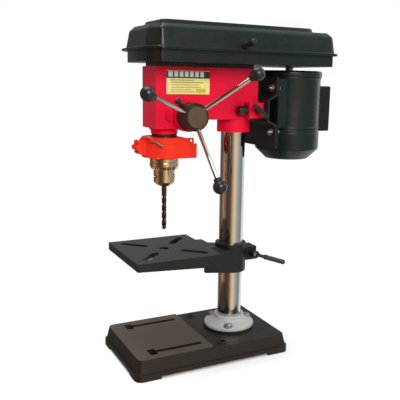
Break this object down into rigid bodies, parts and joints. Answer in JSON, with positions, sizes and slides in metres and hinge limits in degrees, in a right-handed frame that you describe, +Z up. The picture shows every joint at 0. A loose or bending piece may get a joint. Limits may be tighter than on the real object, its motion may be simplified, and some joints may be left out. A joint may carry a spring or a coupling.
{
  "type": "drill press",
  "caption": "Bench drill press: cast base, chromed column, square slotted work table, red head with feed handle, chuck, guard, belt cover and motor.",
  "frame": {"origin": "centre of the bounding box in plan, at the level of the feet under the base", "axes": "+Z up along the column, -Y towards the operator, +X towards the side with the feed handle"},
  "size_m": [0.2372, 0.438, 0.61],
  "materials": {
    "blackCasting": "black satin painted casting",
    "baseCasting": "dark painted casting",
    "greyPaint": "grey painted cast flange",
    "redPaint": "bright red gloss paint",
    "blackPaint": "black gloss paint on sheet and castings",
    "orangePlastic": "orange-red moulded",
    "chrome": "polished plating",
    "steel": "ground steel",
    "darkSteel": "black oxide",
    "brownPlastic": "dark brown moulded",
    "blackPlastic": "black moulded",
    "rubber": "matt black",
    "aluminium": "die-cast",
    "labelYellow": "printed yellow plate",
    "greenPlastic": "green moulded",
    "redPlastic": "red moulded"
  },
  "bodies": {
    "frame": {"base": "baseCasting", "column_flange": "greyPaint", "flange_bolt_1": "steel", "flange_bolt_2": "steel", "flange_bolt_3": "steel", "column": "chrome", "head_casting": "redPaint", "head_lock_screw": "darkSteel", "name_plate": "labelYellow", "switch_box": "blackPlastic", "belt_pan": "blackPaint", "lid_hinge_pin": "steel", "v_belt": "rubber", "spring_cap": "blackPlastic", "return_spring": "steel"},
    "quill": {"quill": "steel", "quill_bumper": "rubber", "lower_bearing": "steel", "guard_clamp": "orangePlastic", "guard_clamp_screw": "steel"},
    "spindle": {"spindle_shaft": "steel", "chuck_body": "steel", "drill_bit": "darkSteel"},
    "chuck_ring": {"chuck_sleeve": "steel"},
    "jaw_1": {"chuck_jaw_1": "darkSteel"},
    "jaw_2": {"chuck_jaw_2": "darkSteel"},
    "jaw_3": {"chuck_jaw_3": "darkSteel"},
    "upper_pulley": {"spindle_pulley": "aluminium"},
    "feed": {"feed_shaft": "steel", "feed_hub": "brownPlastic", "spoke_1": "chrome", "spoke_2": "chrome", "spoke_3": "chrome", "ball_knob_1": "blackPlastic", "ball_knob_2": "blackPlastic", "ball_knob_3": "blackPlastic"},
    "depth_stop": {"depth_ring": "brownPlastic", "depth_lock_screw": "blackPlastic"},
    "lid": {"cover_lid": "blackPaint", "lid_knob": "blackPlastic"},
    "motor": {"motor_bracket": "blackPaint", "slide_bar_left": "darkSteel", "slide_bar_right": "darkSteel", "motor_housing": "blackPaint", "motor_end_bell": "blackPaint", "motor_top_cap": "blackPaint", "capacitor_box": "blackPlastic", "motor_bolt_1": "steel", "motor_bolt_2": "steel", "motor_bolt_3": "steel", "motor_bolt_4": "steel"},
    "rotor": {"motor_shaft": "steel", "motor_pulley": "aluminium"},
    "wing_screw": {"tension_wing_screw": "blackPlastic"},
    "guard": {"guard_frame": "orangePlastic"},
    "work_table": {"table": "blackCasting", "table_clamp_bolt": "steel"},
    "clamp_lever": {"table_lever": "blackPlastic"},
    "start": {"start_button": "greenPlastic"},
    "stop": {"stop_button": "redPlastic"}
  },
  "joints": [
    {"name": "quill_feed", "type": "slide", "parent": "frame", "child": "quill", "axis": [0, 0, -1], "range_m": [0, 0.05], "stiffness_N_per_m": 400, "springref_m": -0.12},
    {"name": "feed_turn", "type": "hinge", "parent": "frame", "child": "feed", "pos_m": [-0.02163, -0.09999, 0.4497], "axis": [1, 0, 0], "range_deg": [-1, 306]},
    {"name": "motor_spin", "type": "hinge", "parent": "motor", "child": "rotor", "pos_m": [-0.02163, 0.13301, 0.5], "axis": [0, 0, 1], "continuous": true},
    {"name": "spindle_pulley_spin", "type": "hinge", "parent": "frame", "child": "upper_pulley", "pos_m": [-0.02163, -0.12739, 0.57], "axis": [0, 0, 1], "continuous": true},
    {"name": "spindle_spin", "type": "hinge", "parent": "quill", "child": "spindle", "pos_m": [-0.02163, -0.12739, 0.45], "axis": [0, 0, 1], "continuous": true},
    {"name": "chuck_ring_turn", "type": "hinge", "parent": "spindle", "child": "chuck_ring", "pos_m": [-0.02163, -0.12739, 0.365], "axis": [0, 0, 1], "range_deg": [0, 540]},
    {"name": "jaw_1_slide", "type": "slide", "parent": "spindle", "child": "jaw_1", "axis": [0, 0.342, 0.9397], "range_m": [0, 0.007]},
    {"name": "jaw_2_slide", "type": "slide", "parent": "spindle", "child": "jaw_2", "axis": [-0.2962, -0.171, 0.9397], "range_m": [0, 0.007]},
    {"name": "jaw_3_slide", "type": "slide", "parent": "spindle", "child": "jaw_3", "axis": [0.2962, -0.171, 0.9397], "range_m": [0, 0.007]},
    {"name": "depth_ring_turn", "type": "hinge", "parent": "feed", "child": "depth_stop", "pos_m": [0.03237, -0.09999, 0.4497], "axis": [1, 0, 0], "range_deg": [-180, 180]},
    {"name": "lid_open", "type": "hinge", "parent": "frame", "child": "lid", "pos_m": [-0.11363, 0.00201, 0.56185], "axis": [0, -1, 0], "range_deg": [0, 95]},
    {"name": "motor_tension", "type": "slide", "parent": "frame", "child": "motor", "axis": [0, 1, 0], "range_m": [-0.0015, 0]},
    {"name": "wing_screw_turn", "type": "hinge", "parent": "frame", "child": "wing_screw", "pos_m": [0.03837, 0.03101, 0.4597], "axis": [1, 0, 0], "range_deg": [-90, 0]},
    {"name": "guard_swing", "type": "hinge", "parent": "quill", "child": "guard", "pos_m": [-0.02163, -0.17099, 0.3948], "axis": [-1, 0, 0], "range_deg": [0, 100]},
    {"name": "table_height", "type": "slide", "parent": "frame", "child": "work_table", "axis": [0, 0, 1], "range_m": [-0.08, 0.04]},
    {"name": "table_lever_turn", "type": "hinge", "parent": "work_table", "child": "clamp_lever", "pos_m": [-0.00163, 0.05301, 0.181], "axis": [1, 0, 0], "range_deg": [-40, 90]},
    {"name": "start_press", "type": "slide", "parent": "frame", "child": "start", "axis": [1, 0, 0], "range_m": [0, 0.0025], "stiffness_N_per_m": 400},
    {"name": "stop_press", "type": "slide", "parent": "frame", "child": "stop", "axis": [1, 0, 0], "range_m": [0, 0.0025], "stiffness_N_per_m": 400}
  ],
  "couplings": [
    {"joint": "feed_turn", "follows": "quill_feed", "rad_per_m": 106.38},
    {"joint": "spindle_pulley_spin", "follows": "motor_spin", "ratio": 0.62199},
    {"joint": "spindle_spin", "follows": "motor_spin", "ratio": 0.62199},
    {"joint": "jaw_1_slide", "follows": "chuck_ring_turn", "m_per_rad": 0.00074272},
    {"joint": "jaw_2_slide", "follows": "chuck_ring_turn", "m_per_rad": 0.00074272},
    {"joint": "jaw_3_slide", "follows": "chuck_ring_turn", "m_per_rad": 0.00074272}
  ]
}
